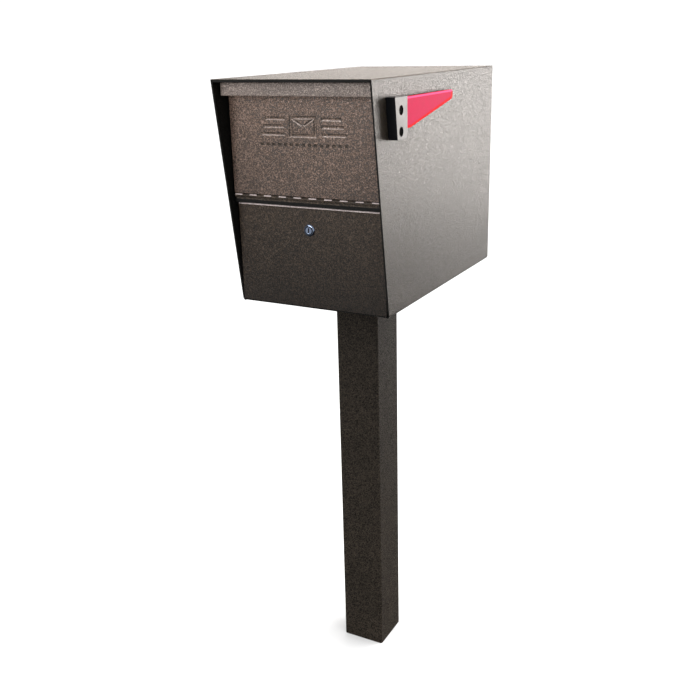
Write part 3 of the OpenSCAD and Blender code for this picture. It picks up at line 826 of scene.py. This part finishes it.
class MAILBOX_OT_post(bpy.types.Operator):
    """Square post with its top and sole plates"""

    bl_idname = "mailbox.post"
    bl_label = "Post"

    def execute(self, context):
        edge = context.scene.mailbox_sizes.post_edge
        for node in ("post_tube", "post_top_plate", "post_sole_plate"):
            rounded_node(node, ["post_coat"], edge)
        return {"FINISHED"}


class MAILBOX_OT_fixings(bpy.types.Operator):
    """Finishes for the small fitted parts that keep their own shape"""

    bl_idname = "mailbox.fixings"
    bl_label = "Fixings"

    def execute(self, context):
        finishes = {
            "zinc": ["mounting_bolts", "mounting_washers", "mounting_nuts", "lock_strike", "lock_nut",
                     "lock_cam", "lock_cam_screw", "hopper_hinge_pin", "access_hinge_pin"],
            "rubber": ["header_bumpers", "hopper_stop_pins"],
        }
        for finish, nodes in finishes.items():
            for node in nodes:
                mesh = frame["nodes"][node].data
                mesh.materials.clear()
                mesh.materials.append(finish_of(finish))
        return {"FINISHED"}


class MAILBOX_OT_stage(bpy.types.Operator):
    """Pale floor, soft lights, white world and the camera"""

    bl_idname = "mailbox.stage"
    bl_label = "Stage"

    def execute(self, context):
        scene = context.scene
        self.floor()
        self.world(scene)
        self.sky_light()
        # Ahead and a little to the left: it lights the doors, the flag and the lock
        self.softbox("key_softbox", at=(-0.6, -1.9, 1.6), aim=(0, -0.25, 1.15), size=(0.9, 0.9),
                     power=31)
        # Far behind on the right: the right side mirrors it, most of all towards the rear
        self.softbox("rear_right_softbox", at=(2.55, 4.45, 1.22), aim=(0.15, 0.1, 1.0),
                     size=(2.1, 2.3), power=29, spread=60, tint="#FFF8F2")
        # Behind on the left: it gives the roof its pale sheen
        self.softbox("rear_left_softbox", at=(-2.0, 5.0, 2.2), aim=(0, 0.1, 1.2), size=(3.0, 2.0),
                     power=6, spread=60, tint="#FFF4EA")
        self.camera(scene)
        scene.view_settings.view_transform = "Standard"
        return {"FINISHED"}

    def floor(self):
        """A plain pale sheet that reaches out of sight all round."""
        bm = bmesh.new()
        bmesh.ops.create_grid(bm, x_segments=1, y_segments=1, size=FLOOR_REACH)
        mesh = bpy.data.meshes.new("floor")
        bm.to_mesh(mesh)
        bm.free()
        made = bpy.data.objects.new("floor", mesh)
        bpy.context.scene.collection.objects.link(made)
        # Matt white studio paper
        paper, tree, shader = blank("studio_paper")
        shader.inputs["Base Color"].default_value = linear("#F4F4F4")
        shader.inputs["Roughness"].default_value = 0.95
        mesh.materials.append(paper)
        # The metal mirrors darker ground than the paper, as it would out of doors
        made.visible_glossy = False

    def world(self, scene):
        """White surroundings, which the metal mirrors as brighter behind than ahead."""
        world = bpy.data.worlds.new("studio")
        scene.world = world
        world.use_nodes = True
        tree = world.node_tree
        heading = add(tree, "ShaderNodeSeparateXYZ", None,
                      {0: add(tree, "ShaderNodeTexCoord").outputs["Generated"]})
        behind = add(tree, "ShaderNodeMath", {1: RIGHT_IS_BEHIND},
                     {0: heading.outputs["X"], 2: heading.outputs["Y"]}, operation="MULTIPLY_ADD")
        brightness = add(tree, "ShaderNodeMapRange",
                         {"From Min": -0.7, "From Max": 0.3, "To Min": GLOW_AHEAD,
                          "To Max": GLOW_BEHIND},
                         {"Value": behind.outputs[0]}, interpolation_type="SMOOTHSTEP")
        # Well below the horizon the metal mirrors dark ground, and sooner towards the right
        dip = add(tree, "ShaderNodeMath", {1: GROUND_TILT},
                  {0: heading.outputs["X"], 2: heading.outputs["Z"]}, operation="MULTIPLY_ADD")
        ground = add(tree, "ShaderNodeMapRange",
                     {"From Min": -0.41, "From Max": -0.31, "To Min": GROUND_GLOW, "To Max": 1.0},
                     {"Value": dip.outputs[0]}, interpolation_type="SMOOTHSTEP")
        both = add(tree, "ShaderNodeMath", None, {0: brightness.outputs[0], 1: ground.outputs[0]},
                   operation="MULTIPLY")
        # Seen straight on, the studio is plain white; only its light on the object varies
        seen = add(tree, "ShaderNodeLightPath").outputs["Is Camera Ray"]
        white = add(tree, "ShaderNodeMath", {1: 1.0}, {0: both.outputs[0]}, operation="MAXIMUM")
        shown = add(tree, "ShaderNodeMix", None, {0: seen, 2: both.outputs[0], 3: white.outputs[0]},
                    data_type="FLOAT")
        tree.links.new(shown.outputs[0], tree.nodes["Background"].inputs["Strength"])
        tree.nodes["Background"].inputs["Color"].default_value = linear("#FFFFFF")

    def sky_light(self):
        """A wide soft light from above, a little behind and to the right."""
        data = bpy.data.lights.new("sky_softbox", "SUN")
        data.energy = SKY_POWER
        data.angle = SKY_WIDTH
        made = bpy.data.objects.new("sky_softbox", data)
        bpy.context.scene.collection.objects.link(made)
        made.rotation_euler = Vector(SKY_FROM).to_track_quat("Z", "Y").to_euler()

    def softbox(self, name, at, aim, size, power, spread=180, tint="#FFFFFF"):
        """A flat rectangular light, with its spread in degrees and its power in watts."""
        data = bpy.data.lights.new(name, "AREA")
        data.spread = math.radians(spread)
        data.shape = "RECTANGLE"
        data.color = linear(tint)[:3]
        data.size, data.size_y = size
        data.energy = power
        made = bpy.data.objects.new(name, data)
        bpy.context.scene.collection.objects.link(made)
        made.visible_camera = False
        made.location = at
        made.rotation_euler = (Vector(aim) - Vector(at)).to_track_quat("-Z", "Y").to_euler()

    def camera(self, scene):
        """The camera, from the stage's turn, tilt and lean."""
        stage = scene.mailbox_stage
        low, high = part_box("body_wrap")
        forward = Vector((-math.sin(stage.yaw) * math.cos(stage.pitch),
                          math.cos(stage.yaw) * math.cos(stage.pitch), -math.sin(stage.pitch)))
        right = forward.cross(Vector((0, 0, 1))).normalized()
        up = right.cross(forward)
        leaned_right = right * math.cos(stage.roll) + up * math.sin(stage.roll)
        leaned_up = up * math.cos(stage.roll) - right * math.sin(stage.roll)
        data = bpy.data.cameras.new("camera")
        data.lens = stage.lens
        data.sensor_width = SENSOR_WIDTH
        made = bpy.data.objects.new("camera", data)
        scene.collection.objects.link(made)
        turn = Matrix((leaned_right, leaned_up, -forward)).transposed().to_4x4()
        place = ((low.x + high.x) / 2 + stage.right, low.y - stage.ahead, low.z + stage.above)
        made.matrix_world = Matrix.Translation(place) @ turn
        scene.camera = made


# ---------------------------------------------------------------- add-on


OPERATORS = (
    MAILBOX_OT_stage,
    MAILBOX_OT_bodywork,
    MAILBOX_OT_hopper_door,
    MAILBOX_OT_access_door,
    MAILBOX_OT_hinges,
    MAILBOX_OT_lock,
    MAILBOX_OT_flag,
    MAILBOX_OT_post,
    MAILBOX_OT_fixings,
)


class MAILBOX_PT_panel(bpy.types.Panel):
    """Lists the mailbox's settings and its building steps"""

    bl_label = "Curbside Mailbox"
    bl_idname = "MAILBOX_PT_panel"
    bl_space_type = "VIEW_3D"
    bl_region_type = "UI"
    bl_category = PANEL_TAB

    def draw(self, context):
        column = self.layout.column()
        scene = context.scene
        for group in (scene.mailbox_finish, scene.mailbox_sizes, scene.mailbox_stage):
            for setting in group.bl_rna.properties:
                if not setting.is_readonly and setting.identifier != "name":
                    column.prop(group, setting.identifier)
        for operator in OPERATORS:
            column.operator(operator.bl_idname)


CLASSES = (MailboxFinish, MailboxSizes, MailboxStage, *OPERATORS, MAILBOX_PT_panel)


def register():
    for made in CLASSES:
        bpy.utils.register_class(made)
    bpy.types.Scene.mailbox_finish = bpy.props.PointerProperty(type=MailboxFinish)
    bpy.types.Scene.mailbox_sizes = bpy.props.PointerProperty(type=MailboxSizes)
    bpy.types.Scene.mailbox_stage = bpy.props.PointerProperty(type=MailboxStage)


def unregister():
    for name in ("mailbox_finish", "mailbox_sizes", "mailbox_stage"):
        delattr(bpy.types.Scene, name)
    for made in reversed(CLASSES):
        bpy.utils.unregister_class(made)


def main():
    register()
    bpy.ops.mailbox.stage()
    bpy.ops.mailbox.bodywork()
    bpy.ops.mailbox.hopper_door()
    bpy.ops.mailbox.access_door()
    bpy.ops.mailbox.hinges()
    bpy.ops.mailbox.lock()
    bpy.ops.mailbox.flag()
    bpy.ops.mailbox.post()
    bpy.ops.mailbox.fixings()


if __name__ == "__main__":
    main()
